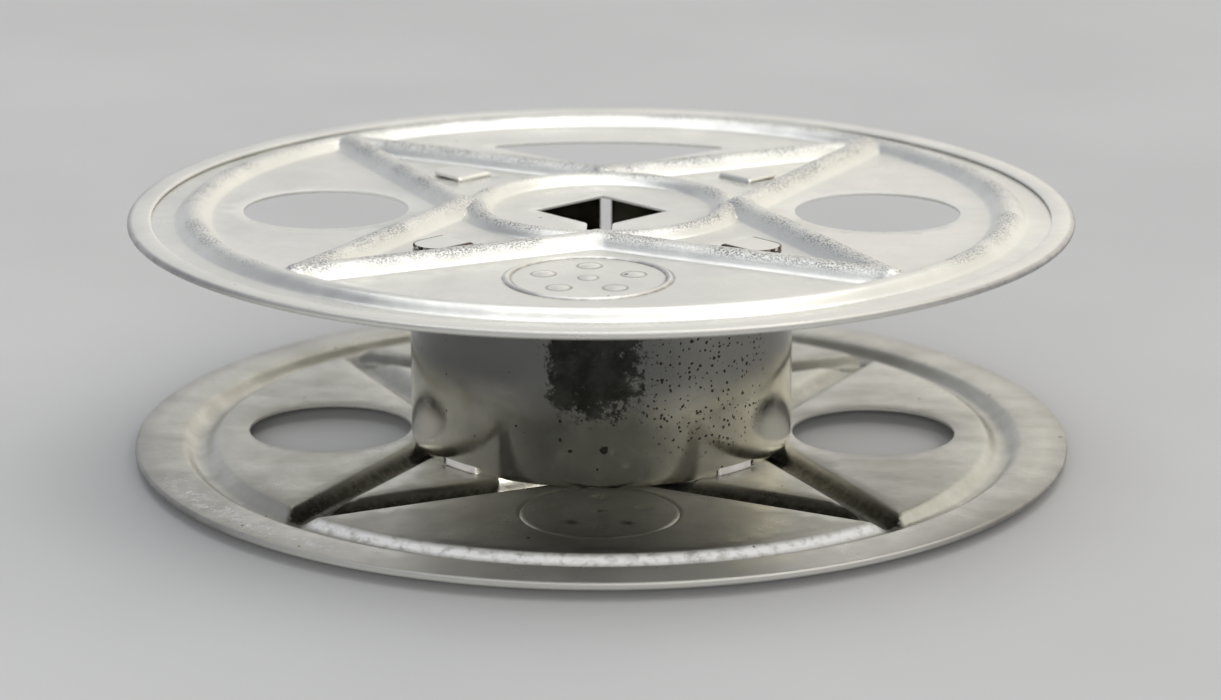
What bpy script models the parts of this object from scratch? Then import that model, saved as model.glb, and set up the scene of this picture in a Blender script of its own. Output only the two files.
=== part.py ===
"""Small film spool pressed from tinned sheet steel.

Three pieces: two identical flanges and the core tube that holds them together. Each flange is
one pressing with two ring beads, a four-pointed star of eight straight beads between them,
two round windows, one three-cornered window, a square drive hole with a keyway, four slots
and an edge hemmed back on the outer face. The core is a strip rolled to a tube. Its two ends
don't meet, and the gap between them holds the end of the film. Four tabs at each end of the
tube pass through a flange's slots and are folded flat on the flange's outer face.

The axis is +Z and the origin is on it, half way between the flanges. The keyways are at -Y,
the film gap is at +Y, and the round windows are at +X and -X.
"""

from math import atan2, cos, hypot, pi, radians, sin, sqrt

import bmesh
import bpy
from mathutils import Vector
from mathutils.geometry import delaunay_2d_cdt

MM = 0.001

# Driving dimensions
FLANGE_RADIUS = 35.0 * MM
FILM_GAP = 16.8 * MM
SHEET = 0.25 * MM
CORE_RADIUS = 14.3 * MM

# Rim: the sheet's edge folded back on the outer face
HEM_WIDTH = 1.65 * MM
HEM_SLIT = 0.04 * MM
HEM_BEND_STEPS = 4

# Pressed beads, all standing out on the flange's outer face
RING_RADIUS = 0.862 * FLANGE_RADIUS
RING_HALF_WIDTH = 0.042 * FLANGE_RADIUS
RING_HEIGHT = 0.8 * MM
HUB_RING_RADIUS = 0.266 * FLANGE_RADIUS
HUB_RING_HALF_WIDTH = 0.038 * FLANGE_RADIUS
HUB_RING_HEIGHT = 0.75 * MM
STAR_INNER_RADIUS = 0.293 * FLANGE_RADIUS
STAR_TIP_RADIUS = 0.826 * FLANGE_RADIUS
STAR_HALF_WIDTH = 0.047 * FLANGE_RADIUS
STAR_HEIGHT = 0.95 * MM
BEAD_BLEND_POWER = 8

# Windows
ROUND_WINDOW_RADIUS = 0.177 * FLANGE_RADIUS
ROUND_WINDOW_OFFSET = 0.586 * FLANGE_RADIUS
CORNERED_WINDOW_ARC = 0.675 * FLANGE_RADIUS
CORNERED_WINDOW_APEX = 0.387 * FLANGE_RADIUS
CORNERED_WINDOW_SLOPE = radians(39)
CORNERED_WINDOW_APEX_FILLET = 0.10 * FLANGE_RADIUS
CORNERED_WINDOW_FILLET = 0.02 * FLANGE_RADIUS

# Drive hole: a square that stands on its corner, with a keyway cut from its -Y corner
DRIVE_HALF_DIAGONAL = 5.05 * MM
KEYWAY_HALF_WIDTH = 1.0 * MM
KEYWAY_REACH = 6.25 * MM

# Core tube and its tabs
FILM_SLOT_WIDTH = 1.0 * MM
TAB_HALF_WIDTH = 1.55 * MM
TAB_REACH = 17.75 * MM
TAB_CORNER = 1.2 * MM
TAB_BEND_RADIUS = 0.3 * MM
TAB_BEND_STEPS = 4
TAB_CORNER_STEPS = 4
RELIEF_WIDTH = 0.4 * MM
RELIEF_DEPTH = 0.4 * MM
SEAT_CLEARANCE = 0.05 * MM
SLOT_INNER_RADIUS = 13.8 * MM
SLOT_OUTER_RADIUS = 14.55 * MM
SLOT_HALF_LENGTH = 1.7 * MM

# Fineness of the round shapes
RIM_SEGMENTS = 72
HUB_SEGMENTS = 36
WINDOW_SEGMENTS = 28
BEAD_LINES = (-1.0, -0.65, -0.3, 0.0, 0.3, 0.65, 1.0)
STAR_STEPS = 6
ARC_STEP = radians(12)
CORE_STEP = radians(6)
TAB_COLUMNS = 4
LEAST_SPACING = 0.9 * MM
CDT_MERGE = 1e-9

TAB_ANGLES = [radians(135 + 90 * k) for k in range(4)]
CORE_MID_RADIUS = CORE_RADIUS - SHEET / 2


def clear_scene():
    for obj in list(bpy.data.objects):
        bpy.data.objects.remove(obj)


def polar(radius, angle):
    return (radius * cos(angle), radius * sin(angle))


def arc(centre, radius, start, end):
    """Points from angle start to angle end, both included."""
    steps = max(2, round(abs(end - start) / ARC_STEP))
    points = []
    for k in range(steps + 1):
        x, y = polar(radius, start + (end - start) * k / steps)
        points.append((centre[0] + x, centre[1] + y))
    return points


def circle(radius, count, centre=(0.0, 0.0)):
    points = []
    for k in range(count):
        x, y = polar(radius, 2 * pi * k / count)
        points.append((centre[0] + x, centre[1] + y))
    return points


# The flange in plan


def star_segment():
    """Ends of one of the star's beads, from a vertex near the hub to a tip on the diagonal."""
    return Vector((STAR_INNER_RADIUS, 0.0)), Vector(polar(STAR_TIP_RADIUS, pi / 4))


def star_distance(x, y):
    """Distance from a point to the middle line of the nearest star bead.

    The star is the same in each eighth of the circle, so the point is folded into the first.
    """
    angle = atan2(y, x) % (pi / 2)
    point = Vector(polar(hypot(x, y), min(angle, pi / 2 - angle)))
    start, end = star_segment()
    along = (point - start).dot(end - start) / (end - start).length_squared
    nearest = start.lerp(end, min(1.0, max(0.0, along)))
    return (point - nearest).length


def bead_height(distance, half_width, height):
    """Height across a bead: one wave of a cosine, flat at its crest and at both feet."""
    if abs(distance) >= half_width:
        return 0.0
    return height * (1 + cos(pi * distance / half_width)) / 2


def pressed_height(x, y):
    """Height of the pressed pattern above the flat sheet. Beads that cross run together."""
    radius = hypot(x, y)
    heights = (
        bead_height(radius - RING_RADIUS, RING_HALF_WIDTH, RING_HEIGHT),
        bead_height(radius - HUB_RING_RADIUS, HUB_RING_HALF_WIDTH, HUB_RING_HEIGHT),
        bead_height(star_distance(x, y), STAR_HALF_WIDTH, STAR_HEIGHT),
    )
    return sum((h / MM) ** BEAD_BLEND_POWER for h in heights) ** (1 / BEAD_BLEND_POWER) * MM


def drive_hole_outline():
    corner = DRIVE_HALF_DIAGONAL
    shoulder = KEYWAY_HALF_WIDTH - corner
    return [
        (corner, 0.0),
        (0.0, corner),
        (-corner, 0.0),
        (-KEYWAY_HALF_WIDTH, shoulder),
        (-KEYWAY_HALF_WIDTH, -KEYWAY_REACH),
        (KEYWAY_HALF_WIDTH, -KEYWAY_REACH),
        (KEYWAY_HALF_WIDTH, shoulder),
    ]


def cornered_window_outline():
    """Rounded triangle at +Y: its far side follows the rim and its apex points to the hub."""
    slope = CORNERED_WINDOW_SLOPE
    apex_centre = (0.0, CORNERED_WINDOW_APEX + CORNERED_WINDOW_APEX_FILLET / cos(slope))
    apex = arc(apex_centre, CORNERED_WINDOW_APEX_FILLET, -pi / 2, -pi / 2 + slope)

    # The corner fillet touches the sloping side and, from inside, the far arc.
    fillet = CORNERED_WINDOW_FILLET
    along = Vector((cos(slope), sin(slope)))
    start = Vector((0.0, CORNERED_WINDOW_APEX)) + fillet * Vector((-sin(slope), cos(slope)))
    reach = CORNERED_WINDOW_ARC - fillet
    travel = sqrt(start.dot(along) ** 2 - start.length_squared + reach**2) - start.dot(along)
    corner_centre = start + travel * along
    corner_angle = atan2(corner_centre.y, corner_centre.x)
    corner = arc(corner_centre, fillet, -pi / 2 + slope, corner_angle)

    far_side = arc((0.0, 0.0), CORNERED_WINDOW_ARC, corner_angle, pi / 2)
    right = apex + corner + far_side[1:]
    left = [(-x, y) for x, y in reversed(right[1:-1])]
    return right + left


def slot_outline(angle):
    """Rectangular slot for one tab, across the diagonal."""
    outward = Vector(polar(1.0, angle))
    across = Vector((-outward.y, outward.x)) * SLOT_HALF_LENGTH
    inner = outward * SLOT_INNER_RADIUS
    outer = outward * SLOT_OUTER_RADIUS
    return [tuple(inner - across), tuple(outer - across), tuple(outer + across), tuple(inner + across)]


def hole_outlines():
    windows = [
        circle(ROUND_WINDOW_RADIUS, WINDOW_SEGMENTS, (side * ROUND_WINDOW_OFFSET, 0.0))
        for side in (-1, 1)
    ]
    slots = [slot_outline(angle) for angle in TAB_ANGLES]
    return [drive_hole_outline(), cornered_window_outline(), *windows, *slots]


def star_outline(offset):
    """Closed line that runs along all eight star beads, a constant offset from their middle."""
    start, end = star_segment()
    along = (end - start).normalized()
    outward = Vector((along.y, -along.x))
    distance = start.dot(outward) + offset
    diagonal = Vector(polar(1.0, pi / 4))
    near_axis = Vector((distance / outward.x, 0.0))
    near_tip = diagonal * (distance / outward.dot(diagonal))
    eighth = [near_axis.lerp(near_tip, k / STAR_STEPS) for k in range(STAR_STEPS + 1)]
    quarter = [point.to_tuple() for point in eighth]
    quarter += [(y, x) for x, y in reversed(quarter[1:-1])]
    outline = []
    for turn in range(4):
        outline += [polar(hypot(x, y), atan2(y, x) + turn * pi / 2) for x, y in quarter]
    return outline


def ring_outlines():
    """Circles along both ring beads, from foot to foot."""
    outlines = []
    for line in BEAD_LINES:
        outlines.append(circle(RING_RADIUS + line * RING_HALF_WIDTH, RIM_SEGMENTS))
        outlines.append(circle(HUB_RING_RADIUS + line * HUB_RING_HALF_WIDTH, HUB_SEGMENTS))
    return outlines


def between_rings(x, y):
    """True on the part of the star that is clear of both ring beads."""
    nearest = HUB_RING_RADIUS + HUB_RING_HALF_WIDTH + LEAST_SPACING
    farthest = RING_RADIUS - RING_HALF_WIDTH - LEAST_SPACING
    return nearest < hypot(x, y) < farthest


def inside(outline, x, y):
    """True where a point is within a closed outline, by counting the sides it is left of."""
    crossings = 0
    for (x0, y0), (x1, y1) in zip(outline, outline[1:] + outline[:1]):
        if (y0 > y) != (y1 > y) and x < x0 + (y - y0) * (x1 - x0) / (y1 - y0):
            crossings += 1
    return crossings % 2 == 1


def flange_plan():
    """Points of the flange in plan, the rim's first, and the pairs that its edges must join."""
    points = []
    borders = []
    closed = [circle(FLANGE_RADIUS - HEM_WIDTH, RIM_SEGMENTS), *hole_outlines(), *ring_outlines()]
    for outline in closed:
        first = len(points)
        count = len(outline)
        borders += [(first + k, first + (k + 1) % count) for k in range(count)]
        points += outline
    for outline in [star_outline(line * STAR_HALF_WIDTH) for line in BEAD_LINES]:
        numbers = []
        for x, y in outline:
            numbers.append(len(points) if between_rings(x, y) else None)
            if between_rings(x, y):
                points.append((x, y))
        for pair in zip(numbers, numbers[1:] + numbers[:1]):
            if None not in pair:
                borders.append(pair)
    return [Vector(point) for point in points], borders


# The flange as a solid


def hem_profile():
    """Middle of the sheet around the hem, as (radius, height), from the flat band outwards."""
    bend = (SHEET + HEM_SLIT) / 2
    bend_centre = FLANGE_RADIUS - SHEET / 2 - bend
    profile = []
    for k in range(HEM_BEND_STEPS + 1):
        r, z = polar(bend, -pi / 2 + pi * k / HEM_BEND_STEPS)
        profile.append((bend_centre + r, SHEET / 2 + bend + z))
    profile.append((FLANGE_RADIUS - HEM_WIDTH, SHEET / 2 + 2 * bend))
    return profile


def add_hem(bm, edge_ring):
    """Carries the sheet on from the ring of vertices at its edge, round the hem's fold."""
    inner = edge_ring
    for radius, height in hem_profile():
        outer = [bm.verts.new((x, y, height)) for x, y in circle(radius, RIM_SEGMENTS)]
        for k in range(RIM_SEGMENTS):
            following = (k + 1) % RIM_SEGMENTS
            bm.faces.new((inner[k], outer[k], outer[following], inner[following]))
        inner = outer


def flange_mesh():
    """Middle surface of one flange, lying on z = 0 with its outer face up."""
    points, borders = flange_plan()
    holes = hole_outlines()
    plan, _, triangles, *_ = delaunay_2d_cdt(points, borders, [], 0, CDT_MERGE)

    bm = bmesh.new()
    verts = [bm.verts.new((p.x, p.y, SHEET / 2 + pressed_height(p.x, p.y))) for p in plan]
    for triangle in triangles:
        centre = sum((plan[k] for k in triangle), Vector((0.0, 0.0))) / 3
        if not any(inside(outline, centre.x, centre.y) for outline in holes):
            bm.faces.new([verts[k] for k in triangle])
    for vert in [v for v in bm.verts if not v.link_faces]:
        bm.verts.remove(vert)
    add_hem(bm, verts[:RIM_SEGMENTS])
    return mesh_from(bm, "flange")


# The core tube


def core_angles():
    """Angles of the tube's columns, from one side of the film gap round to the other."""
    half_gap = FILM_SLOT_WIDTH / 2 / CORE_MID_RADIUS
    marks = {pi / 2 + half_gap, 5 * pi / 2 - half_gap}
    tab = TAB_HALF_WIDTH / CORE_MID_RADIUS
    relief = RELIEF_WIDTH / CORE_MID_RADIUS
    for diagonal in TAB_ANGLES:
        marks |= {diagonal + side * offset for side in (-1, 1) for offset in (tab, tab + relief)}
    marks = sorted(marks)
    angles = [marks[0]]
    for low, high in zip(marks, marks[1:]):
        steps = TAB_COLUMNS if is_tab(low, high) else max(1, round((high - low) / CORE_STEP))
        angles += [low + (high - low) * k / steps for k in range(1, steps + 1)]
    return angles


def past_diagonal(low, high):
    """Arc length from the nearest tab's middle to the middle of a stretch of the tube."""
    return abs((low + high) / 2 % (pi / 2) - pi / 4) * CORE_MID_RADIUS


def is_tab(low, high):
    return past_diagonal(low, high) < TAB_HALF_WIDTH


def is_relief(low, high):
    """True for the stretches beside a tab, where the tube's edge is notched."""
    return TAB_HALF_WIDTH < past_diagonal(low, high) < TAB_HALF_WIDTH + RELIEF_WIDTH


def tab_profile():
    """Middle of a tab from the tube's end outwards, as (radius, height, share of the width)."""
    lying = FILM_GAP / 2 + SHEET + SEAT_CLEARANCE + SHEET / 2
    bend_centre = (CORE_MID_RADIUS + TAB_BEND_RADIUS, lying - TAB_BEND_RADIUS)
    profile = []
    for k in range(TAB_BEND_STEPS + 1):
        r, z = polar(TAB_BEND_RADIUS, pi - pi / 2 * k / TAB_BEND_STEPS)
        profile.append((bend_centre[0] + r, bend_centre[1] + z, 1.0))
    for k in range(TAB_CORNER_STEPS + 1):
        r, half_width = polar(TAB_CORNER, pi / 2 - pi / 2 * k / TAB_CORNER_STEPS)
        width = TAB_HALF_WIDTH - TAB_CORNER + half_width
        profile.append((TAB_REACH - TAB_CORNER + r, lying, width / TAB_HALF_WIDTH))
    return profile


def add_tab(bm, diagonal, root, end):
    """Carries the tube's end on along one tab. end is 1 for the upper end and -1 for the lower."""
    outward = Vector((cos(diagonal), sin(diagonal), 0.0))
    across = Vector((-sin(diagonal), cos(diagonal), 0.0))
    sideways = [vert.co.dot(across) for vert in root]
    sag = [CORE_MID_RADIUS - vert.co.dot(outward) for vert in root]
    inner = root
    for radius, height, share in tab_profile():
        outer = []
        for side, drop in zip(sideways, sag):
            place = outward * (radius - drop) + across * side * share
            place.z = end * height
            outer.append(bm.verts.new(place))
        for k in range(len(root) - 1):
            bm.faces.new((inner[k], inner[k + 1], outer[k + 1], outer[k]))
        inner = outer


def core_mesh():
    """Middle surface of the tube with its eight tabs."""
    half_length = FILM_GAP / 2 - SEAT_CLEARANCE
    heights = (-half_length, RELIEF_DEPTH - half_length, half_length - RELIEF_DEPTH, half_length)
    angles = core_angles()
    bm = bmesh.new()
    columns = []
    for angle in angles:
        x, y = polar(CORE_MID_RADIUS, angle)
        columns.append([bm.verts.new((x, y, z)) for z in heights])
    for k, stretch in enumerate(zip(angles, angles[1:])):
        left, right = columns[k], columns[k + 1]
        rows = (1,) if is_relief(*stretch) else (0, 1, 2)
        for row in rows:
            bm.faces.new((left[row], right[row], right[row + 1], left[row + 1]))
    reach = (TAB_HALF_WIDTH + RELIEF_WIDTH / 2) / CORE_MID_RADIUS
    for diagonal in TAB_ANGLES:
        root = [column for column, angle in zip(columns, angles) if abs(angle - diagonal) < reach]
        add_tab(bm, diagonal, [column[-1] for column in root], 1)
        add_tab(bm, diagonal, [column[0] for column in root], -1)
    return mesh_from(bm, "core")


# Objects


def mesh_from(bm, name):
    bmesh.ops.recalc_face_normals(bm, faces=bm.faces)
    mesh = bpy.data.meshes.new(name)
    bm.to_mesh(mesh)
    bm.free()
    return mesh


def tinplate(name, colour, roughness):
    material = bpy.data.materials.new(name)
    material.use_nodes = True
    shader = material.node_tree.nodes["Principled BSDF"]
    shader.inputs["Base Color"].default_value = (*colour, 1.0)
    shader.inputs["Metallic"].default_value = 1.0
    shader.inputs["Roughness"].default_value = roughness
    return material


def add_sheet_object(name, mesh, material, parent):
    """An object whose middle surface is thickened by half the sheet to each side."""
    obj = bpy.data.objects.new(name, mesh)
    bpy.context.scene.collection.objects.link(obj)
    obj.parent = parent
    mesh.materials.append(material)
    mesh.shade_smooth()
    mesh.set_sharp_from_angle(angle=radians(35))
    thickness = obj.modifiers.new("sheet thickness", "SOLIDIFY")
    thickness.thickness = SHEET
    thickness.offset = 0.0
    thickness.use_even_offset = True
    return obj


def build():
    clear_scene()
    spool = bpy.data.objects.new("spool", None)
    bpy.context.scene.collection.objects.link(spool)
    bright = tinplate("bright_tinplate", (0.80, 0.79, 0.75), 0.30)
    dull = tinplate("dull_tinplate", (0.62, 0.61, 0.55), 0.34)
    polished = tinplate("rolled_tinplate", (0.66, 0.66, 0.61), 0.22)

    upper = add_sheet_object("upper_flange", flange_mesh(), bright, spool)
    upper.location.z = FILM_GAP / 2
    lower = add_sheet_object("lower_flange", flange_mesh(), dull, spool)
    lower.location.z = -FILM_GAP / 2
    lower.rotation_euler.y = pi
    add_sheet_object("core_tube", core_mesh(), polished, spool)


build()
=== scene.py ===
"""Looks of a small film spool pressed from tinned sheet steel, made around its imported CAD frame.

Both flanges and the core are rebuilt with a finer surface in the space of their CAD solids. A piece
is modelled as the middle surface of its sheet, in millimetres, and thickened to the sheet's gauge.
"""

from math import atan2, cos, hypot, pi, radians, sin, sqrt

import bpy
import numpy as np
from mathutils import Matrix, Vector, noise
from mathutils.geometry import delaunay_2d_cdt
from mathutils.kdtree import KDTree


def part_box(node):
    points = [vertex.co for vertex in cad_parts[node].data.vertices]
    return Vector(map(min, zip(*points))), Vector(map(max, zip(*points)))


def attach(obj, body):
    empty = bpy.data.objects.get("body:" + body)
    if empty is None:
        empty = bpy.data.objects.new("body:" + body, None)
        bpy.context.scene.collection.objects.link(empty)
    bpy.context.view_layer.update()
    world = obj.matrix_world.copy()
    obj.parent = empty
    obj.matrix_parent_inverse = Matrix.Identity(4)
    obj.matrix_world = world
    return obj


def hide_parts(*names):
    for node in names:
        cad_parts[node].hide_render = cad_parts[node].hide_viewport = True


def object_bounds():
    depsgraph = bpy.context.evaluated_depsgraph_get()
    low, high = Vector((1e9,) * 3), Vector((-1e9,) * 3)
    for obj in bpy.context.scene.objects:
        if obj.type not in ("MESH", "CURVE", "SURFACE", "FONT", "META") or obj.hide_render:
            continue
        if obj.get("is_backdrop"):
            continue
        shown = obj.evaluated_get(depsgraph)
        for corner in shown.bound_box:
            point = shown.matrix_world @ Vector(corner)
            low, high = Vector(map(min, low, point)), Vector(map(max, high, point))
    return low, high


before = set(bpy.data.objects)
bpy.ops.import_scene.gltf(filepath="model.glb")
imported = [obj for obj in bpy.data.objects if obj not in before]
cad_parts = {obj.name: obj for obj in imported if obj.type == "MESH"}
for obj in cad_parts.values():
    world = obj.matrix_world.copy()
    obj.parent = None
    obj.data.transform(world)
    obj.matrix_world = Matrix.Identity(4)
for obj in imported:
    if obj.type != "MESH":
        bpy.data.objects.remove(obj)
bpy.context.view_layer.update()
MM = 0.001

# Driving sizes, read off the frame, in millimetres
FLANGE_RADIUS = round(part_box("upper_flange")[1].x / MM, 1)
INNER_FACE = round(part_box("upper_flange")[0].z / MM, 2)
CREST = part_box("upper_flange")[1].z / MM
CORE_RADIUS = round(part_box("core_tube")[1].x / MM, 1)
TABS_TOP = round(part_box("core_tube")[1].z / MM, 2)
SHEET = 0.25

# The flange's pressing
HEM_WIDTH = 1.65
HEM_SLIT = 0.04
HEM_CROWN = 0.06
HEM_STEPS = 10
RING_RADIUS = 0.862 * FLANGE_RADIUS
RING_HALF_WIDTH = 0.042 * FLANGE_RADIUS
RING_HEIGHT = 0.8
HUB_RADIUS = 0.266 * FLANGE_RADIUS
HUB_HALF_WIDTH = 0.038 * FLANGE_RADIUS
HUB_HEIGHT = 0.75
STAR_INNER = 0.293 * FLANGE_RADIUS
STAR_TIP = 0.826 * FLANGE_RADIUS
STAR_HALF_WIDTH = 0.047 * FLANGE_RADIUS
STAR_HEIGHT = CREST - INNER_FACE - SHEET
BEAD_BLEND_POWER = 8
BEAD_SQUARENESS = 1.3
PANEL_WAVE = 0.035
PANEL_WAVE_LENGTH = 14.0

# Holes
ROUND_WINDOW_RADIUS = 0.177 * FLANGE_RADIUS
ROUND_WINDOW_OFFSET = 0.586 * FLANGE_RADIUS
CORNERED_ARC = 0.675 * FLANGE_RADIUS
CORNERED_APEX = 0.387 * FLANGE_RADIUS
CORNERED_SLOPE = radians(39)
CORNERED_APEX_FILLET = 0.10 * FLANGE_RADIUS
CORNERED_FILLET = 0.02 * FLANGE_RADIUS
DRIVE_HALF_DIAGONAL = 5.05
KEYWAY_HALF_WIDTH = 1.0
KEYWAY_REACH = 6.25
SLOT_INNER = 13.8
SLOT_OUTER = 14.55
SLOT_HALF_LENGTH = 1.7

# Embossed badge: a ring round a generic reel motif of five studs about a centre one
BADGE_CENTRE = (-0.011 * FLANGE_RADIUS, -0.566 * FLANGE_RADIUS)
BADGE_RADIUS = 0.162 * FLANGE_RADIUS
BADGE_LINE = 0.22
BADGE_HEIGHT = 0.13
STUD_COUNT = 5
STUD_CIRCLE = 3.3
STUD_RADIUS = 0.85
CENTRE_STUD_RADIUS = 0.7

# Scuffed stretch of the rim's inner face
SCUFF_RADIUS = 0.945 * FLANGE_RADIUS
SCUFF_HALF_WIDTH = 0.05 * FLANGE_RADIUS
SCUFF_ANGLE = radians(-42)
SCUFF_HALF_ANGLE = radians(24)

# Core tube and tabs
FILM_SLOT = 1.0
TAB_HALF_WIDTH = 1.55
TAB_REACH = 17.75
TAB_CORNER = 1.2
TAB_BEND = 0.3
RELIEF_WIDTH = 0.4
RELIEF_DEPTH = 0.4
SEAT_CLEARANCE = 0.05
CORE_WAVE = 0.03
# Colour of the painted shade on the front of the core
CORE_SHADE_GREY = (0.145, 0.145, 0.138)
# Larger rust spots in front: across, up, radius
RUST_SPOTS = (
    (0.5, -5.6, 0.30),
    (-1.9, -5.7, 0.15),
    (-2.6, -4.9, 0.12),
    (-2.6, -3.5, 0.13),
    (-5.8, -4.2, 0.10),
)

# Fineness
RIM_SEGMENTS = 360
HUB_SEGMENTS = 150
WINDOW_SEGMENTS = 120
BEAD_LINES = np.linspace(-1.0, 1.0, 15)
STAR_STEPS = 34
FILL_SPACING = 1.2
FILL_CLEARANCE = 0.65
PLAN_MERGE = 0.015
ARC_STEP = radians(4)
CORE_STEP = radians(1.5)
TAB_STEPS = 12
EDGE_ROUNDING = 0.09
EDGE_ANGLES = [k * pi / 4 for k in range(1, 4)]
BADGE_RING_SEGMENTS = 150
STUD_SEGMENTS = 30
HEM_RETURN_STEPS = 8
CORE_ROWS = 17
TAB_CURVE_STEPS = 8
ROOT_ROW_GAP = 0.08

# Masks that show on one skin of the sheet only
OUTER_SKIN_MASKS = ("crest", "grime")
INNER_SKIN_MASKS = ("worn_highlight", "groove", "keyway_band", "scuff")

# Setting: the floor in metres, the camera's place and target in flange radii
FLOOR_HALF_WIDTH = 3.0
CAMERA_PLACE = (0.0, -7.6302, 2.1061)
CAMERA_TARGET = (0.0196, -0.0159, -0.0577)
CAMERA_TURN = radians(1.5)
CAMERA_LENS = 108.9
CAMERA_APERTURE = 45.0

CORE_MID = CORE_RADIUS - SHEET / 2
DIAGONALS = [radians(45 + 90 * k) for k in range(4)]


def polar(radius, angle):
    return (radius * cos(angle), radius * sin(angle))


def arc(centre, radius, start, end):
    """Points from angle start to angle end, both included."""
    steps = max(3, round(abs(end - start) / ARC_STEP))
    angles = [start + (end - start) * k / steps for k in range(steps + 1)]
    return [(centre[0] + radius * cos(a), centre[1] + radius * sin(a)) for a in angles]


def circle(radius, count, centre=(0.0, 0.0)):
    angles = [2 * pi * k / count for k in range(count)]
    return [(centre[0] + radius * cos(a), centre[1] + radius * sin(a)) for a in angles]


# Height of the pressing, for arrays of points


def smooth_hump(distance, half_width, height):
    """Full height at distance 0, nothing from half_width on, and a crest broader than the feet."""
    share = np.clip(np.abs(distance) / half_width, 0.0, 1.0) ** BEAD_SQUARENESS
    return height * (1 + np.cos(pi * share)) / 2


def star_humps(x, y):
    """The nearest star bead and its two neighbours, with the point folded into one eighth."""
    folded = np.mod(np.arctan2(y, x), pi / 2)
    folded = np.minimum(folded, pi / 2 - folded)
    radius = np.hypot(x, y)
    dx, dy = STAR_TIP * cos(pi / 4) - STAR_INNER, STAR_TIP * sin(pi / 4)
    humps = []
    for angle in (folded, -folded, pi / 2 - folded):
        px, py = radius * np.cos(angle) - STAR_INNER, radius * np.sin(angle)
        along = np.clip((px * dx + py * dy) / (dx * dx + dy * dy), 0.0, 1.0)
        distance = np.hypot(px - along * dx, py - along * dy)
        humps.append(smooth_hump(distance, STAR_HALF_WIDTH, STAR_HEIGHT))
    return humps


def bead_relief(x, y):
    """Both ring beads and the star. Beads that meet run together smoothly."""
    radius = np.hypot(x, y)
    humps = [
        smooth_hump(radius - RING_RADIUS, RING_HALF_WIDTH, RING_HEIGHT),
        smooth_hump(radius - HUB_RADIUS, HUB_HALF_WIDTH, HUB_HEIGHT),
        *star_humps(x, y),
    ]
    return sum(h**BEAD_BLEND_POWER for h in humps) ** (1 / BEAD_BLEND_POWER)


def stud_centres():
    """Centre and radius of each stud of the badge's motif."""
    studs = [(BADGE_CENTRE, CENTRE_STUD_RADIUS)]
    for k in range(STUD_COUNT):
        x, y = polar(STUD_CIRCLE, pi / 2 + 2 * pi * k / STUD_COUNT)
        studs.append(((BADGE_CENTRE[0] + x, BADGE_CENTRE[1] + y), STUD_RADIUS))
    return studs


def badge_relief(x, y):
    radius = np.hypot(x - BADGE_CENTRE[0], y - BADGE_CENTRE[1])
    height = smooth_hump(radius - BADGE_RADIUS, BADGE_LINE, BADGE_HEIGHT)
    for (cx, cy), stud in stud_centres():
        height = np.maximum(height, smooth_hump(np.hypot(x - cx, y - cy), stud, BADGE_HEIGHT))
    return height


def panel_wave(x, y, seed):
    """The slight unevenness of pressed sheet."""
    points = zip(np.atleast_1d(x) / PANEL_WAVE_LENGTH, np.atleast_1d(y) / PANEL_WAVE_LENGTH)
    return PANEL_WAVE * np.array([noise.noise((px, py, seed)) for px, py in points])


# The flange in plan


def drive_outline():
    corner = DRIVE_HALF_DIAGONAL
    shoulder = KEYWAY_HALF_WIDTH - corner
    return [
        (corner, 0.0),
        (0.0, corner),
        (-corner, 0.0),
        (-KEYWAY_HALF_WIDTH, shoulder),
        (-KEYWAY_HALF_WIDTH, -KEYWAY_REACH),
        (KEYWAY_HALF_WIDTH, -KEYWAY_REACH),
        (KEYWAY_HALF_WIDTH, shoulder),
    ]


def softened(outline, radius=0.25, steps=4):
    """The outline with a small quadratic curve in place of each corner."""
    points = [Vector(p) for p in outline]
    soft = []
    for k, corner in enumerate(points):
        before = corner + (points[k - 1] - corner).normalized() * radius
        after = corner + (points[(k + 1) % len(points)] - corner).normalized() * radius
        for step in range(steps + 1):
            t = step / steps
            soft.append(tuple(before * (1 - t) ** 2 + corner * 2 * t * (1 - t) + after * t**2))
    return soft


def cornered_outline():
    """Rounded triangle at +Y: its far side follows the rim and its apex points to the hub."""
    slope = CORNERED_SLOPE
    apex_centre = (0.0, CORNERED_APEX + CORNERED_APEX_FILLET / cos(slope))
    apex = arc(apex_centre, CORNERED_APEX_FILLET, -pi / 2, -pi / 2 + slope)
    along = Vector((cos(slope), sin(slope)))
    start = Vector((0.0, CORNERED_APEX)) + CORNERED_FILLET * Vector((-sin(slope), cos(slope)))
    reach = CORNERED_ARC - CORNERED_FILLET
    travel = sqrt(start.dot(along) ** 2 - start.length_squared + reach**2) - start.dot(along)
    centre = start + travel * along
    turn = atan2(centre.y, centre.x)
    corner = arc(centre, CORNERED_FILLET, -pi / 2 + slope, turn)
    far_side = arc((0.0, 0.0), CORNERED_ARC, turn, pi / 2)
    right = apex + corner + far_side[1:]
    return right + [(-x, y) for x, y in reversed(right[1:-1])]


def slot_outline(angle):
    outward = Vector(polar(1.0, angle))
    across = Vector((-outward.y, outward.x)) * SLOT_HALF_LENGTH
    inner, outer = outward * SLOT_INNER, outward * SLOT_OUTER
    corners = (inner - across, outer - across, outer + across, inner + across)
    return [tuple(corner) for corner in corners]


def hole_outlines():
    windows = [
        circle(ROUND_WINDOW_RADIUS, WINDOW_SEGMENTS, (side * ROUND_WINDOW_OFFSET, 0.0))
        for side in (-1, 1)
    ]
    slots = [softened(slot_outline(angle), 0.15, 2) for angle in DIAGONALS]
    return [softened(drive_outline()), cornered_outline(), *windows, *slots]


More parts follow.
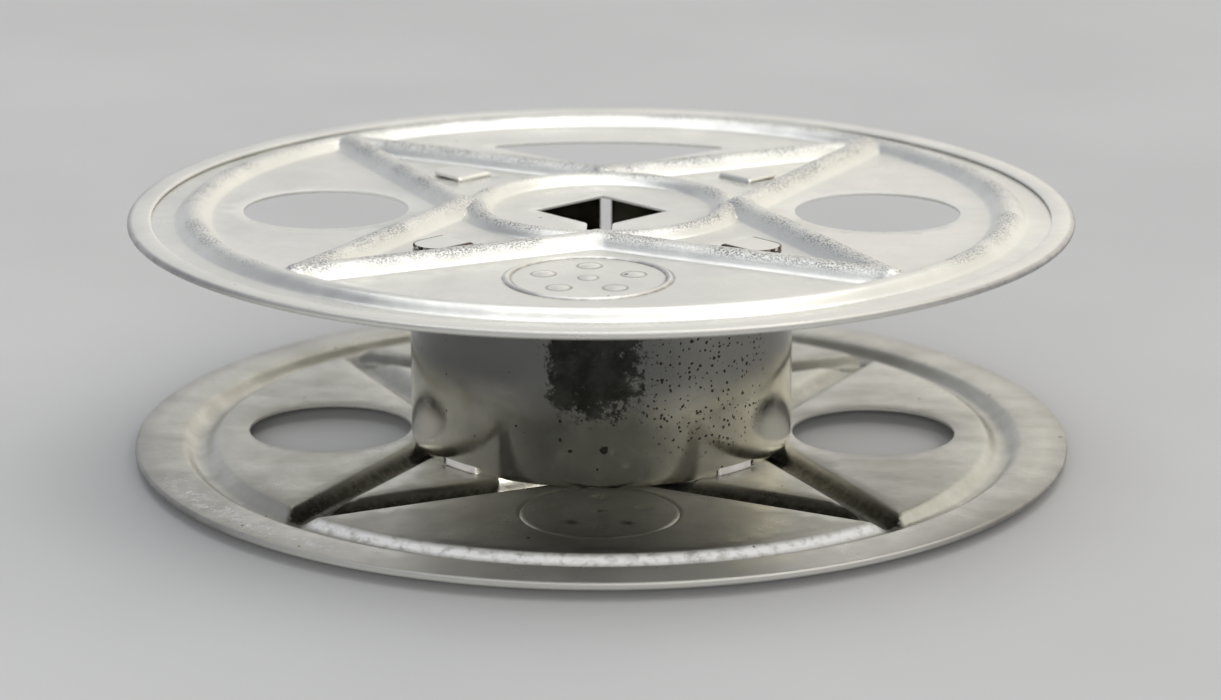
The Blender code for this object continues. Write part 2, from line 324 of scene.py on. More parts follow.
def star_outline(offset):
    """Closed line along all eight star beads, a constant offset from their middle."""
    start, end = Vector((STAR_INNER, 0.0)), Vector(polar(STAR_TIP, pi / 4))
    along = (end - start).normalized()
    outward = Vector((along.y, -along.x))
    diagonal = Vector(polar(1.0, pi / 4))
    distance = start.dot(outward) + offset
    near_axis = Vector((distance / outward.x, 0.0))
    near_tip = diagonal * (distance / outward.dot(diagonal))
    eighth = [near_axis.lerp(near_tip, k / STAR_STEPS) for k in range(STAR_STEPS + 1)]
    quarter = [point.to_tuple() for point in eighth]
    quarter += [(y, x) for x, y in reversed(quarter[1:-1])]
    outline = []
    for turn in range(4):
        outline += [polar(hypot(x, y), atan2(y, x) + turn * pi / 2) for x, y in quarter]
    return outline


def closed_lines():
    """Lines round the beads and the badge, close enough together to carry their rounding."""
    lines = []
    for share in BEAD_LINES:
        lines.append(circle(RING_RADIUS + share * RING_HALF_WIDTH, RIM_SEGMENTS))
        lines.append(circle(HUB_RADIUS + share * HUB_HALF_WIDTH, HUB_SEGMENTS))
    for share in (-2, -1.5, -1, -0.5, 0, 0.5, 1, 1.5, 2):
        lines.append(circle(BADGE_RADIUS + share * BADGE_LINE, BADGE_RING_SEGMENTS, BADGE_CENTRE))
    for centre, radius in stud_centres():
        for share in (0.3, 0.6, 0.8, 1.0, 1.2):
            lines.append(circle(radius * share, STUD_SEGMENTS, centre))
    return lines


def flange_plan():
    """Points in plan, the rim's first, and the pairs of points that an edge must join."""
    points, borders = [], []
    rim = circle(FLANGE_RADIUS - HEM_WIDTH, RIM_SEGMENTS)
    for outline in [rim, *hole_outlines(), *closed_lines()]:
        first, count = len(points), len(outline)
        borders += [(first + k, first + (k + 1) % count) for k in range(count)]
        points += outline
    nested = []
    for outline in [star_outline(share * STAR_HALF_WIDTH) for share in BEAD_LINES]:
        numbers = []
        for x, y in outline:
            kept = HUB_RADIUS < hypot(x, y) < RING_RADIUS
            numbers.append(len(points) if kept else None)
            if kept:
                points.append((x, y))
        borders += [pair for pair in zip(numbers, numbers[1:] + numbers[:1]) if None not in pair]
        nested.append(numbers[::STAR_STEPS])
    for corners in zip(*nested):
        borders += [pair for pair in zip(corners, corners[1:]) if None not in pair]
    points += filling(points)
    return [Vector(point) for point in points], borders


def filling(points):
    """A triangular grid of points for the flat ground, clear of the lines."""
    tree = KDTree(len(points))
    for k, (x, y) in enumerate(points):
        tree.insert((x, y, 0.0), k)
    tree.balance()
    row_height = FILL_SPACING * sqrt(3) / 2
    rows = int(FLANGE_RADIUS / row_height)
    columns = int(FLANGE_RADIUS / FILL_SPACING)
    fill = []
    for row in range(-rows, rows + 1):
        for column in range(-columns, columns + 1):
            x = (column + row % 2 / 2) * FILL_SPACING
            y = row * row_height
            inside_rim = hypot(x, y) < FLANGE_RADIUS - HEM_WIDTH - FILL_CLEARANCE
            if inside_rim and tree.find((x, y, 0.0))[2] > FILL_CLEARANCE:
                fill.append((x, y))
    return fill


def inside(outline, x, y):
    """For arrays of points: which of them are within a closed outline."""
    crossings = np.zeros(len(x), int)
    for (x0, y0), (x1, y1) in zip(outline, outline[1:] + outline[:1]):
        if y0 == y1:
            continue
        spans = (y0 > y) != (y1 > y)
        crossings += spans & (x < x0 + (y - y0) * (x1 - x0) / (y1 - y0))
    return crossings % 2 == 1


# Sheet surfaces


def smoothstep(low, high, value):
    share = np.clip((value - low) / (high - low), 0.0, 1.0)
    return share * share * (3 - 2 * share)


def hem_profile():
    """Middle of the sheet round the folded edge: (radius, height) from the flat band outwards."""
    bend = (SHEET + HEM_SLIT) / 2
    centre = FLANGE_RADIUS - SHEET / 2 - bend
    profile = []
    for k in range(HEM_STEPS + 1):
        r, z = polar(bend, -pi / 2 + pi * k / HEM_STEPS)
        profile.append((centre + r, SHEET / 2 + bend + z))
    for k in range(1, HEM_RETURN_STEPS + 1):
        share = k / HEM_RETURN_STEPS
        r = centre + (FLANGE_RADIUS - HEM_WIDTH - centre) * share
        profile.append((r, SHEET / 2 + 2 * bend + HEM_CROWN * sin(pi * share)))
    return profile


def flange_surface(seed):
    """Middle surface of a flange lying on z = 0, outer face up: points, faces, masks."""
    plan, borders = flange_plan()
    plan, _, triangles, *_ = delaunay_2d_cdt(plan, borders, [], 0, PLAN_MERGE)
    xy = np.array([tuple(p) for p in plan])
    triangles = np.array(triangles)
    centres = xy[triangles].mean(axis=1)
    cut = np.zeros(len(triangles), bool)
    for outline in hole_outlines():
        cut |= inside(outline, centres[:, 0], centres[:, 1])
    faces = [tuple(face) for face in triangles[~cut].tolist()]

    beads = bead_relief(xy[:, 0], xy[:, 1])
    heights = SHEET / 2 + beads + badge_relief(xy[:, 0], xy[:, 1])
    heights += panel_wave(xy[:, 0], xy[:, 1], seed)
    points = [(x, y, z) for (x, y), z in zip(xy.tolist(), heights.tolist())]
    masks = {
        "crest": worn_crest(xy[:, 0], xy[:, 1]).tolist(),
        "worn_highlight": worn_wall_highlight(xy[:, 0], xy[:, 1]).tolist(),
        "keyway_band": keyway_band_mask(xy[:, 0], xy[:, 1]).tolist(),
        "groove": shaded_groove(xy[:, 0], xy[:, 1]).tolist(),
        "grime": badge_grime(xy[:, 0], xy[:, 1]).tolist(),
        "scuff": scuffed_band(xy[:, 0], xy[:, 1]).tolist(),
        "edge": [0.0] * len(points),
    }

    edge_wave = panel_wave(*xy[:RIM_SEGMENTS].T, seed).tolist()
    rim_keyway_band = keyway_band_mask(*xy[:RIM_SEGMENTS].T).tolist()
    inner = list(range(RIM_SEGMENTS))
    for radius, height in hem_profile():
        outer = [len(points) + k for k in range(RIM_SEGMENTS)]
        ring = circle(radius, RIM_SEGMENTS)
        points += [(x, y, height + wave) for (x, y), wave in zip(ring, edge_wave)]
        for mask in masks.values():
            mask += [0.0] * RIM_SEGMENTS
        masks["edge"][-RIM_SEGMENTS:] = [rim_edge(radius)] * RIM_SEGMENTS
        masks["keyway_band"][-RIM_SEGMENTS:] = rim_keyway_band
        for k in range(RIM_SEGMENTS):
            after = (k + 1) % RIM_SEGMENTS
            faces.append((inner[k], outer[k], outer[after], inner[after]))
        inner = outer
    return points, faces, masks


def rim_edge(radius):
    """1 on the outside of the fold at the rim, fading to 0 on the flat: where the painted dark reflection
    goes.
    """
    return float(smoothstep(-0.45, -0.12, radius - FLANGE_RADIUS))


def worn_crest(x, y):
    """The tops of the beads: the star's most, the ring's less, and least on the keyway side."""
    radius = np.hypot(x, y)
    star = np.maximum.reduce(star_humps(x, y)) / STAR_HEIGHT
    ring = smooth_hump(radius - RING_RADIUS, RING_HALF_WIDTH, 0.8)
    ring = ring * smoothstep(-0.85, -0.55, y / np.maximum(radius, 1.0))
    hub = smooth_hump(radius - HUB_RADIUS, HUB_HALF_WIDTH, 0.9)
    return smoothstep(0.35, 0.9, np.maximum.reduce([star, ring, hub]))


def shaded_groove(x, y):
    """Painted shade in the groove under each star bead, strongest on the keyway side."""
    groove = smoothstep(0.08, 0.4, np.maximum.reduce(star_humps(x, y)) / STAR_HEIGHT)
    return groove * (1 - 0.65 * smoothstep(0.0, 6.0, y))


def worn_wall_highlight(x, y):
    """The ring groove's wall nearer the hub on the keyway side, worn by the film and given a painted
    highlight.
    """
    offset = np.hypot(x, y) - (RING_RADIUS - 0.62 * RING_HALF_WIDTH)
    return smooth_hump(offset, 0.42 * RING_HALF_WIDTH, 1.0) * smoothstep(0.0, 3.0, -y - np.abs(x))


def keyway_band_mask(x, y):
    """The flat band outside the ring groove on the keyway side, where the colour is made paler."""
    radius = np.hypot(x, y)
    band = smoothstep(0.2, 0.9, radius - RING_RADIUS - 0.5 * RING_HALF_WIDTH)
    return band * smoothstep(-0.55, -0.9, y / np.maximum(radius, 1.0))


def scuffed_band(x, y):
    """The stretch of the rim's flat band, beside the keyway, that has been worn by rubbing on a table."""
    radius = np.hypot(x, y)
    band = smooth_hump(radius - SCUFF_RADIUS, SCUFF_HALF_WIDTH, 1.0)
    away = np.abs(np.arctan2(y, x) - SCUFF_ANGLE)
    return band * smoothstep(SCUFF_HALF_ANGLE, 0.5 * SCUFF_HALF_ANGLE, away)


def badge_grime(x, y):
    """The foot of each raised line of the badge, where dirt settles."""
    radius = np.hypot(x - BADGE_CENTRE[0], y - BADGE_CENTRE[1])
    feet = smooth_hump(np.abs(radius - BADGE_RADIUS) - BADGE_LINE, 0.18, 1.0)
    for (cx, cy), stud in stud_centres():
        feet = np.maximum(feet, smooth_hump(np.hypot(x - cx, y - cy) - stud, 0.2 * stud, 1.0))
    return feet


def core_angles():
    """Angles of the tube's columns, from one side of the film gap round to the other."""
    half_gap = FILM_SLOT / 2 / CORE_MID
    tab, relief = TAB_HALF_WIDTH / CORE_MID, RELIEF_WIDTH / CORE_MID
    marks = {pi / 2 + half_gap, 5 * pi / 2 - half_gap}
    for k in range(4):
        diagonal = radians(135 + 90 * k)
        marks |= {diagonal + side * offset for side in (-1, 1) for offset in (tab, tab + relief)}
    marks = sorted(marks)
    angles = [marks[0]]
    for low, high in zip(marks, marks[1:]):
        on_tab = abs(high - low - 2 * tab) < relief / 10
        steps = TAB_STEPS if on_tab else max(2, round((high - low) / CORE_STEP))
        angles += [low + (high - low) * k / steps for k in range(1, steps + 1)]
    return angles


def from_diagonal(angle):
    """Arc length from the nearest tab's middle, along the tube's middle surface."""
    return abs(angle % (pi / 2) - pi / 4) * CORE_MID


def tab_profile():
    """Middle of a tab from the tube's end outwards: (radius, height, share of its width)."""
    lying = TABS_TOP - SHEET / 2
    profile = []
    for k in range(TAB_CURVE_STEPS + 1):
        r, z = polar(TAB_BEND, pi - pi / 2 * k / TAB_CURVE_STEPS)
        profile.append((CORE_MID + TAB_BEND + r, lying - TAB_BEND + z, 1.0))
    profile.append((CORE_MID + TAB_BEND + 1.2, lying, 1.0))
    for k in range(TAB_CURVE_STEPS + 1):
        r, half_width = polar(TAB_CORNER, pi / 2 - pi / 2 * k / TAB_CURVE_STEPS)
        share = (TAB_HALF_WIDTH - TAB_CORNER + half_width) / TAB_HALF_WIDTH
        profile.append((TAB_REACH - TAB_CORNER + r, lying, share))
    return profile


def core_surface():
    """Middle surface of the tube with its eight tabs: points, faces, masks."""
    half_length = INNER_FACE - SEAT_CLEARANCE
    notch = half_length - RELIEF_DEPTH
    inner_rows = np.linspace(ROOT_ROW_GAP - notch, notch - ROOT_ROW_GAP, CORE_ROWS).tolist()
    rows = [-half_length, -notch, *inner_rows, notch, half_length]
    angles = core_angles()
    points, faces, columns, roots = [], [], [], []
    for angle in angles:
        column = []
        for z in rows:
            fade = float(smoothstep(0.0, 2.0, half_length - abs(z)))
            place = (cos(angle) * 3.0, sin(angle) * 3.0, z / 9.0)
            x, y = polar(CORE_MID + CORE_WAVE * fade * noise.noise(place), angle)
            column.append(len(points))
            points.append((x, y, z))
            on_root = from_diagonal(angle) < TAB_HALF_WIDTH * 1.01
            roots.append(float(on_root and abs(z) > half_length - RELIEF_DEPTH * 1.01))
        columns.append(column)
    last_row = len(rows) - 2
    for k, pair in enumerate(zip(angles, angles[1:])):
        beside = from_diagonal(sum(pair) / 2) - TAB_HALF_WIDTH
        notched = 0 < beside < RELIEF_WIDTH
        for row in range(len(rows) - 1):
            if notched and row in (0, last_row):
                continue
            left, right = columns[k], columns[k + 1]
            faces.append((left[row], right[row], right[row + 1], left[row + 1]))
    for diagonal in [radians(135 + 90 * k) for k in range(4)]:
        nearest = [abs(a - diagonal) * CORE_MID < TAB_HALF_WIDTH * 1.01 for a in angles]
        root = [column for column, near in zip(columns, nearest) if near]
        add_tab(points, faces, diagonal, [column[-1] for column in root], 1)
        add_tab(points, faces, diagonal, [column[0] for column in root], -1)
    roots += [0.0] * (len(points) - len(roots))
    return points, faces, {"tab_root": roots}


def add_tab(points, faces, diagonal, root, end):
    """Carries the tube's end on along one tab. end is 1 for the upper end and -1 for the lower."""
    ox, oy = cos(diagonal), sin(diagonal)
    sideways = [points[k][1] * ox - points[k][0] * oy for k in root]
    sag = [CORE_MID - points[k][0] * ox - points[k][1] * oy for k in root]
    inner = root
    for radius, height, share in tab_profile():
        outer = [len(points) + k for k in range(len(root))]
        for side, drop in zip(sideways, sag):
            out, across = radius - drop, side * share
            points.append((out * ox - across * oy, out * oy + across * ox, end * height))
        for k in range(len(root) - 1):
            face = (inner[k], inner[k + 1], outer[k + 1], outer[k])
            faces.append(face if end > 0 else face[::-1])
        inner = outer


def corner_normals(points, faces):
    """Unit normal at each point, weighted by the areas of its faces."""
    normals = np.zeros_like(points)
    for size in (3, 4):
        group = np.array([face for face in faces if len(face) == size], int).reshape(-1, size)
        across = points[group[:, size // 2]] - points[group[:, 0]]
        other = points[group[:, -1]] - points[group[:, 1 if size == 4 else 0]]
        area = np.cross(across, other)
        for corner in range(size):
            np.add.at(normals, group[:, corner], area)
    return normals / np.maximum(np.linalg.norm(normals, axis=1, keepdims=True), 1e-12)


def open_edges(faces):
    """Edges with a face on one side only, in that face's direction."""
    edges = {(face[k - 1], face[k]) for face in faces for k in range(len(face))}
    return sorted((a, b) for a, b in edges if (b, a) not in edges)


def thickened(points, faces, masks):
    """Both skins of the sheet and its rounded cut edges: points, faces, masks."""
    points = np.array(points)
    normals = corner_normals(points, faces)
    edges = open_edges(faces)
    outward = np.zeros_like(points)
    for a, b in edges:
        side = np.cross(points[b] - points[a], normals[a])
        outward[a] += side
        outward[b] += side
    rim = sorted({k for edge in edges for k in edge})
    outward[rim] /= np.linalg.norm(outward[rim], axis=1, keepdims=True)

    count, half = len(points), SHEET / 2
    parts = [points + normals * half, points - normals * half]
    for angle in EDGE_ANGLES:
        offset = normals[rim] * half * cos(angle) + outward[rim] * EDGE_ROUNDING * sin(angle)
        parts.append(points[rim] + offset)

    place = {k: number for number, k in enumerate(rim)}
    solid = list(faces) + [tuple(count + k for k in reversed(face)) for face in faces]
    for a, b in edges:
        wall_a = [2 * count + row * len(rim) + place[a] for row in range(len(EDGE_ANGLES))]
        wall_b = [2 * count + row * len(rim) + place[b] for row in range(len(EDGE_ANGLES))]
        down_a = [a, *wall_a, count + a]
        down_b = [b, *wall_b, count + b]
        for k in range(len(down_a) - 1):
            solid.append((down_b[k], down_a[k], down_a[k + 1], down_b[k + 1]))

    spread = {}
    for label, values in masks.items():
        outer_skin = np.array(values)
        inner_skin = outer_skin * (label not in OUTER_SKIN_MASKS)
        outer_skin = outer_skin * (label not in INNER_SKIN_MASKS)
        edge_rows = [outer_skin[rim]] * len(EDGE_ANGLES)
        spread[label] = np.concatenate([outer_skin, inner_skin, *edge_rows])
    border = np.zeros(count)
    border[rim] = 1.0
    spread["cut"] = np.concatenate([border, border, np.ones(len(rim) * len(EDGE_ANGLES))])
    return np.concatenate(parts), solid, spread


def sheet_piece(name, surface, node, material):
    """A finished piece that stands for a CAD node."""
    points, faces, masks = thickened(*surface)
    mesh = bpy.data.meshes.new(name)
    mesh.from_pydata((points * MM).tolist(), [], faces)
    for label, values in masks.items():
        mesh.attributes.new(label, "FLOAT", "POINT").data.foreach_set("value", values)
    mesh.materials.append(material)
    mesh.shade_smooth()
    mesh.set_sharp_from_angle(angle=radians(35))
    piece = bpy.data.objects.new(name, mesh)
    bpy.context.scene.collection.objects.link(piece)
    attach(piece, "root")
    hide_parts(node)
    return piece


def placed(surface, height, turned_over=False):
    """The surface raised to its height, or turned over about Y and lowered to it."""
    points, faces, masks = surface
    if turned_over:
        return [(-x, y, -z - height) for x, y, z in points], faces, masks
    return [(x, y, z + height) for x, y, z in points], faces, masks


# Materials


def link(tree, socket, value):
    if isinstance(value, bpy.types.NodeSocket):
        tree.links.new(value, socket)
    else:
        socket.default_value = value


def add(tree, kind, inputs, output=0, **settings):
    """A shader node with its settings and inputs in place; returns one of its outputs."""
    made = tree.nodes.new("ShaderNode" + kind)
    for key, value in settings.items():
        setattr(made, key, value)
    for key, value in inputs.items():
        link(tree, made.inputs[key], value)
    return made.outputs[output]


def calc(tree, operation, a, b=0.0):
    return add(tree, "Math", {0: a, 1: b}, operation=operation)


def product(tree, *factors):
    total = factors[0]
    for factor in factors[1:]:
        total = calc(tree, "MULTIPLY", total, factor)
    return total


def grain(tree, scale, detail=3.0, roughness=0.55):
    inputs = {"Scale": scale, "Detail": detail, "Roughness": roughness}
    inputs["Vector"] = add(tree, "TexCoord", {}, output="Object")
    return add(tree, "TexNoise", inputs)


def step(tree, value, low, high, to_low=0.0, to_high=1.0):
    """A smooth step from to_low to to_high as value goes from low to high."""
    inputs = {"Value": value, "From Min": low, "From Max": high, "To Min": to_low, "To Max": to_high}
    return add(tree, "MapRange", inputs, interpolation_type="SMOOTHSTEP")


def mix(tree, share, a, b):
    inputs = {0: share, 6: (*a, 1.0) if isinstance(a, tuple) else a}
    inputs[7] = (*b, 1.0) if isinstance(b, tuple) else b
    return add(tree, "Mix", inputs, output=2, data_type="RGBA")


def mix_value(tree, share, a, b):
    return add(tree, "Mix", {0: share, 2: a, 3: b}, data_type="FLOAT")


def attribute(tree, name):
    return add(tree, "Attribute", {}, output="Fac", attribute_name=name)


def specks(tree, scale, size, share):
    """Scattered ragged dots: a share of the cells hold one each, up to this size in cells."""
    voronoi = tree.nodes.new("ShaderNodeTexVoronoi")
    link(tree, voronoi.inputs["Vector"], add(tree, "TexCoord", {}, output="Object"))
    voronoi.inputs["Scale"].default_value = scale
    chance, amount = (add(tree, "SeparateColor", {0: voronoi.outputs["Color"]}, k) for k in (0, 1))
    chosen = calc(tree, "LESS_THAN", chance, share)
    reach = product(tree, grain(tree, scale * 2.2, 2.0), 2.0 * size, amount)
    covered = calc(tree, "LESS_THAN", voronoi.outputs["Distance"], reach)
    return product(tree, chosen, covered)


def tinplate(name, bright, dull, worn, fold_dark_reflection, roughness, dirt, bump):
    """Tinned sheet steel: mottled ground, pinhead specks, fine scuffs and speckled bead crests."""
    material = bpy.data.materials.new(name)
    material.use_nodes = True
    tree = material.node_tree
    shader = tree.nodes["Principled BSDF"]

    clouds = step(tree, grain(tree, 110.0, 4.0, 0.6), 0.35, 0.68)
    fine = grain(tree, 1700.0, 4.0, 0.65)
    colour = mix(tree, clouds, bright, dull)
    colour = mix(tree, step(tree, fine, 0.35, 0.75, 0.0, 0.35), colour, dull)

    crest = attribute(tree, "crest")
    speckle = step(tree, grain(tree, 6500.0, 2.0, 0.7), 0.46, 0.60)
    patches = step(tree, grain(tree, 220.0, 3.0), 0.38, 0.60, 0.25, 1.0)
    scuffed = product(tree, crest, speckle, patches)
    colour = mix(tree, scuffed, colour, worn)

    # Painted dark reflection: the outside of the rim's fold is darkened in uneven patches, for the dark
    # surroundings that it mirrors.
    uneven = step(tree, grain(tree, 700.0, 4.0, 0.7), 0.3, 0.7, 0.7, 0.95)
    colour = mix(tree, product(tree, attribute(tree, "edge"), uneven), colour, fold_dark_reflection)
    # Painted shade: the star beads' grooves are darkened, most on the keyway side.
    groove_shade = product(tree, attribute(tree, "groove"), step(tree, fine, 0.3, 0.6, 0.78, 0.97))
    colour = mix(tree, groove_shade, colour, (0.085, 0.08, 0.06))
    # The flat band outside the ring groove is made paler on the keyway side.
    keyway_side = product(tree, attribute(tree, "keyway_band"), 0.8)
    colour = mix(tree, keyway_side, colour, (0.80, 0.79, 0.74))
    # Partly wear, partly painted highlight: the ring groove's worn wall is painted white and made matt on
    # the keyway side.
    worn_highlight = product(tree, attribute(tree, "worn_highlight"), step(tree, fine, 0.3, 0.55, 0.45, 1.0))
    colour = mix(tree, worn_highlight, colour, (1.0, 1.0, 1.0))
    marks = step(tree, grain(tree, 1500.0, 5.0, 0.75), 0.48, 0.60)
    scuffs = product(tree, marks, attribute(tree, "scuff"))
    colour = mix(tree, scuffs, colour, (1.0, 1.0, 1.0))
    line_dirt = product(tree, attribute(tree, "grime"), step(tree, fine, 0.3, 0.7, 0.5, 0.95))
    colour = mix(tree, line_dirt, colour, (0.20, 0.18, 0.16))

    dots = specks(tree, 900.0, 0.14, dirt)
    colour = mix(tree, dots, colour, (0.10, 0.095, 0.08))

    rough = step(tree, grain(tree, 420.0, 4.0, 0.6), 0.3, 0.75, roughness, roughness + 0.14)
    rough = mix_value(tree, crest, rough, roughness + 0.16)
    rough = mix_value(tree, worn_highlight, rough, 0.65)
    rough = mix_value(tree, scuffs, rough, 0.65)
    relief = calc(tree, "ADD", product(tree, fine, 0.5), grain(tree, 300.0, 3.0))
    relief = calc(tree, "ADD", relief, product(tree, scuffed, -0.7))
    normal = add(tree, "Bump", {"Height": relief, "Strength": bump, "Distance": 0.00004})

    link(tree, shader.inputs["Base Color"], colour)
    link(tree, shader.inputs["Roughness"], rough)
    link(tree, shader.inputs["Normal"], normal)
    matt = calc(tree, "MAXIMUM", worn_highlight, scuffs)
    matt = calc(tree, "MAXIMUM", matt, product(tree, keyway_side, 0.3))
    matt = calc(tree, "MAXIMUM", matt, product(tree, attribute(tree, "cut"), 0.65))
    link(tree, shader.inputs["Metallic"], mix_value(tree, matt, 1.0, 0.0))
    return material


def core_tinplate(name):
    """The core's smoother tinplate, with a black stain in front, a drift of pinhead rust, and painted
    shade and a painted highlight on its front.
    """
    # The tube's tin colours are darker than the flanges', partly as painted shade.
    material = tinplate(
        name,
        bright=(0.47, 0.46, 0.385),
        dull=(0.36, 0.355, 0.30),
        worn=(0.5, 0.5, 0.5),
        fold_dark_reflection=CORE_SHADE_GREY,
        roughness=0.10,
        dirt=0.02,
        bump=0.12,
    )
    tree = material.node_tree
    shader = tree.nodes["Principled BSDF"]
    base = shader.inputs["Base Color"].links[0].from_socket
    rough = shader.inputs["Roughness"].links[0].from_socket
    coords = add(tree, "TexCoord", {}, output="Object")
    x, y, z = (add(tree, "SeparateXYZ", {0: coords}, k) for k in range(3))
    front = step(tree, y, 0.0, -0.004)

    # Painted highlight: a pale reflected band low on the front of the tube, to each side of its middle.
    beside = step(tree, calc(tree, "ABSOLUTE", calc(tree, "ADD", x, 0.0005)), 0.003, 0.008)
    low = step(tree, z, -0.0005, -0.0045)
    painted_sheen = product(tree, front, beside, low)
    # Painted shade: the front of the tube is darker towards the top, and less dark on the right.
    high = step(tree, z, -0.006, 0.0005, 0.32, 1.0)
    lighter = step(tree, x, 0.003, 0.009, 1.0, 0.7)
    colour = mix(tree, product(tree, front, high, lighter), base, CORE_SHADE_GREY)
    colour = mix(tree, painted_sheen, colour, (0.80, 0.765, 0.66))

    solid = product(
        tree,
        front,
        step(tree, x, -0.0045, -0.0025),
        step(tree, x, 0.0056, 0.0008),
        step(tree, z, -0.0050, -0.0014),
        step(tree, z, 0.0058, 0.0042),
    )
    flecks = product(tree, calc(tree, "SUBTRACT", grain(tree, 1300.0, 6.0, 0.8), 0.5), 2.8)
    stain = step(tree, calc(tree, "ADD", solid, flecks), 0.38, 0.75)
    stain = product(tree, stain, step(tree, solid, 0.0, 0.1))
    depth = step(tree, grain(tree, 500.0, 5.0, 0.65), 0.35, 0.65, 0.70, 0.95)
    colour = mix(tree, product(tree, stain, depth), colour, (0.030, 0.032, 0.026))

    drift = product(
        tree,
        front,
        step(tree, x, 0.0015, 0.0060),
        step(tree, x, 0.0130, 0.0100),
        step(tree, z, -0.0085, -0.0020),
    )
    dots = calc(tree, "MAXIMUM", specks(tree, 3100.0, 0.40, 0.8), specks(tree, 1500.0, 0.24, 0.35))
    dots = product(tree, dots, step(tree, drift, 0.05, 0.5))
    few = product(tree, specks(tree, 1900.0, 0.18, 0.22), front)
    spots = calc(tree, "MAXIMUM", dots, few)
    for spot_x, spot_z, radius in RUST_SPOTS:
        across = calc(tree, "POWER", calc(tree, "SUBTRACT", x, spot_x * MM), 2.0)
        up = calc(tree, "POWER", calc(tree, "SUBTRACT", z, spot_z * MM), 2.0)
        away = calc(tree, "SQRT", calc(tree, "ADD", across, up))
        ragged = product(tree, grain(tree, 2500.0, 2.0), 2.0 * radius * MM)
        spot = product(tree, calc(tree, "LESS_THAN", away, ragged), front)
        spots = calc(tree, "MAXIMUM", spots, spot)
    colour = mix(tree, product(tree, spots, 0.9), colour, (0.04, 0.038, 0.03))
    rough = mix_value(tree, calc(tree, "MAXIMUM", stain, spots), rough, 0.5)

    patchy = step(tree, grain(tree, 900.0), 0.3, 0.6, 0.7, 1.0)
    root = product(tree, attribute(tree, "tab_root"), patchy)
    colour = mix(tree, root, colour, (1.0, 0.96, 0.93))
    rough = mix_value(tree, root, rough, 0.5)
    outside = step(tree, calc(tree, "ABSOLUTE", z), 0.00845, 0.00855)
    colour = mix(tree, outside, colour, (0.86, 0.85, 0.80))
    rough = mix_value(tree, outside, rough, 0.28)
    # Painted shadow: the cut edges of the front tabs' outer parts get a dark shadow line.
    outline = product(tree, attribute(tree, "cut"), outside, front)
    colour = mix(tree, outline, colour, (0.13, 0.10, 0.08))

    link(tree, shader.inputs["Base Color"], colour)
    link(tree, shader.inputs["Roughness"], rough)
    link(tree, shader.inputs["Metallic"], mix_value(tree, root, 1.0, 0.0))
    return material


def floor_material():
    material = bpy.data.materials.new("pale_floor")
    material.use_nodes = True
    tree = material.node_tree
    shader = tree.nodes["Principled BSDF"]
    tone = step(tree, grain(tree, 18.0, 3.0), 0.3, 0.7)
    colour = mix(tree, tone, (0.57, 0.57, 0.575), (0.61, 0.61, 0.615))
    link(tree, shader.inputs["Base Color"], colour)
    shader.inputs["Roughness"].default_value = 0.85
    return material


# Setting: floor, light and camera


def add_floor(height):
    """A plain flat floor, wide enough to reach out of the picture on all sides."""
    mesh = bpy.data.meshes.new("floor")
    signs = ((-1, -1), (1, -1), (1, 1), (-1, 1))
    corners = [(x * FLOOR_HALF_WIDTH, y * FLOOR_HALF_WIDTH, height) for x, y in signs]
    mesh.from_pydata(corners, [], [(0, 1, 2, 3)])
    mesh.materials.append(floor_material())
    floor = bpy.data.objects.new("floor", mesh)
    bpy.context.scene.collection.objects.link(floor)
    floor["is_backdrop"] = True


def aim_at(lamp, target):
    lamp.rotation_euler = (Vector(target) - lamp.location).to_track_quat("-Z", "Y").to_euler()


def add_softbox(name, place, target, width, depth, power, colour, mirrored=True):
    """A rectangular light, seen in the metal's reflections only when it is mirrored."""
    light = bpy.data.lights.new(name, "AREA")
    light.shape = "RECTANGLE"
    light.size, light.size_y = width, depth
    light.energy = power
    light.color = colour
    lamp = bpy.data.objects.new(name, light)
    bpy.context.scene.collection.objects.link(lamp)
    lamp.location = place
    aim_at(lamp, target)
    lamp.visible_glossy = mirrored


def add_inner_light():
    """The daylight that falls through the drive hole on the groove in front of it."""
    light = bpy.data.lights.new("through_drive_hole", "SPOT")
    light.energy = 0.18
    light.spot_size = radians(19)
    light.shadow_soft_size = 0.0015
    lamp = bpy.data.objects.new("through_drive_hole", light)
    bpy.context.scene.collection.objects.link(lamp)
    lamp.location = (0.002, 0.002, 0.0070)
    aim_at(lamp, (-0.0052, -0.0138, -0.009))


def add_world():
    """Soft light from all round, brighter behind the spool than on the viewer's side."""
    world = bpy.data.worlds.new("studio")
    bpy.context.scene.world = world
    bpy.context.scene.view_settings.view_transform = "Standard"
    world.use_nodes = True
    tree = world.node_tree
    direction = add(tree, "TexCoord", {}, output="Generated")
    x, y, z = (add(tree, "SeparateXYZ", {0: direction}, k) for k in range(3))
    side = step(tree, x, -0.5, 0.5)
    far = mix(tree, side, (0.66, 0.68, 0.72), (1.18, 1.14, 1.05))
    high = mix(tree, side, (0.36, 0.38, 0.42), (1.15, 1.12, 1.04))
    tone = mix(tree, step(tree, y, -0.4, 0.8), (0.24, 0.245, 0.255), far)
    tone = mix(tree, step(tree, z, 0.35, 0.75), tone, high)
    background = tree.nodes["Background"]
    link(tree, background.inputs["Color"], tone)
    background.inputs["Strength"].default_value = 0.9


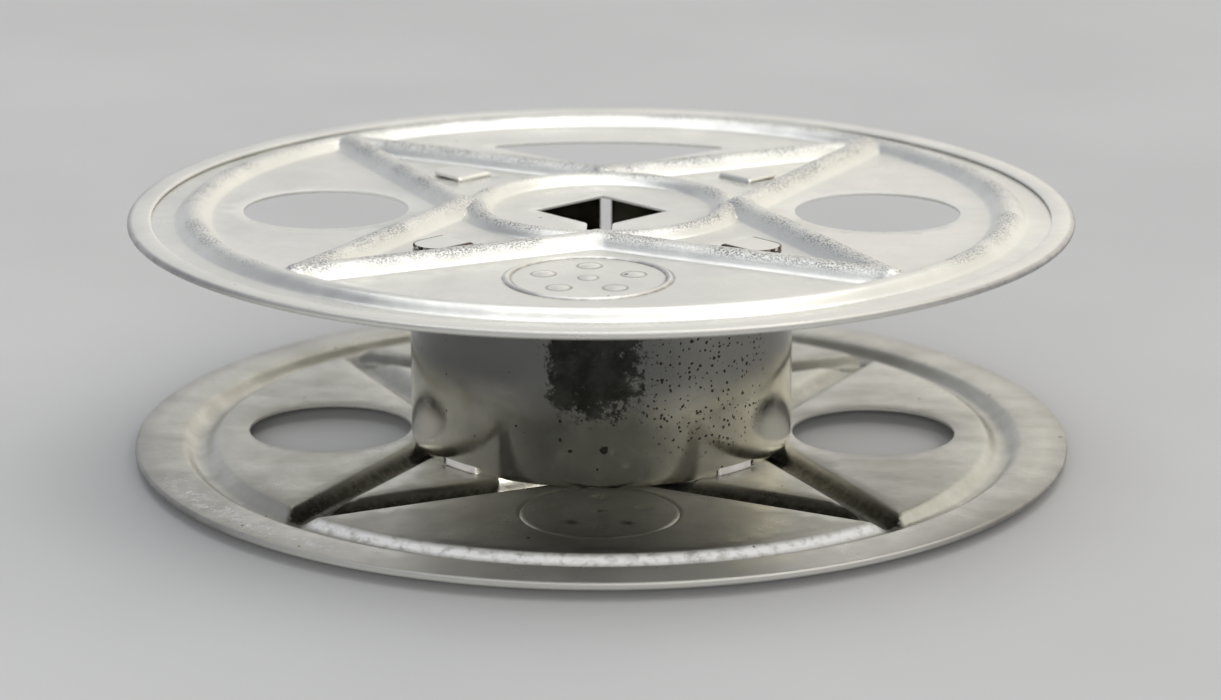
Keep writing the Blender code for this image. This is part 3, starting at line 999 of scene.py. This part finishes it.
def add_camera():
    """The camera looks down on the spool from a little to the right of its keyway side."""
    data = bpy.data.cameras.new("camera")
    data.sensor_width = 36.0
    data.lens = CAMERA_LENS
    data.clip_start = 0.01
    camera = bpy.data.objects.new("camera", data)
    bpy.context.scene.collection.objects.link(camera)
    turned = Matrix.Rotation(CAMERA_TURN, 3, "Z") * FLANGE_RADIUS * MM
    camera.location = turned @ Vector(CAMERA_PLACE)
    target = turned @ Vector(CAMERA_TARGET)
    aim_at(camera, target)

    focus = bpy.data.objects.new("focus_point", None)
    bpy.context.scene.collection.objects.link(focus)
    focus.location = target + (camera.location - target).normalized() * CORE_RADIUS * MM
    focus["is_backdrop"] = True
    data.dof.use_dof = True
    data.dof.focus_object = focus
    data.dof.aperture_fstop = CAMERA_APERTURE
    bpy.context.scene.camera = camera


# The spool

bright_tin = tinplate(
    "bright_tinplate",
    bright=(0.87, 0.86, 0.81),
    dull=(0.77, 0.765, 0.73),
    worn=(0.27, 0.27, 0.275),
    # The rim fold's colour, a painted dark reflection
    fold_dark_reflection=(0.34, 0.33, 0.335),
    roughness=0.27,
    dirt=0.03,
    bump=0.5,
)
# The lower flange's colours are darker than the upper one's: partly duller tin, partly painted shade.
dull_tin = tinplate(
    "dull_tinplate",
    bright=(0.60, 0.59, 0.535),
    dull=(0.44, 0.43, 0.385),
    worn=(0.62, 0.62, 0.60),
    # The rim fold's colour, a painted dark reflection
    fold_dark_reflection=(0.26, 0.25, 0.24),
    roughness=0.27,
    dirt=0.07,
    bump=0.5,
)
core_tin = core_tinplate("rolled_tinplate")

upper = placed(flange_surface(seed=1.7), INNER_FACE)
lower = placed(flange_surface(seed=5.3), INNER_FACE, turned_over=True)
sheet_piece("upper_flange_pressing", upper, "upper_flange", bright_tin)
sheet_piece("lower_flange_pressing", lower, "lower_flange", dull_tin)
sheet_piece("core_tube_rolled", core_surface(), "core_tube", core_tin)

add_floor(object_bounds()[0].z)
add_world()
add_softbox("overhead", (0.0, 0.10, 0.55), (0.0, 0.05, 0.0), 0.55, 0.42, 0.82, (0.96, 0.975, 1.0))
add_softbox("front", (0.0, -0.62, 0.19), (0.0, 0.0, 0.0), 0.5, 0.15, 1.9, (1.0, 1.0, 1.0), mirrored=False)
add_inner_light()
add_camera()
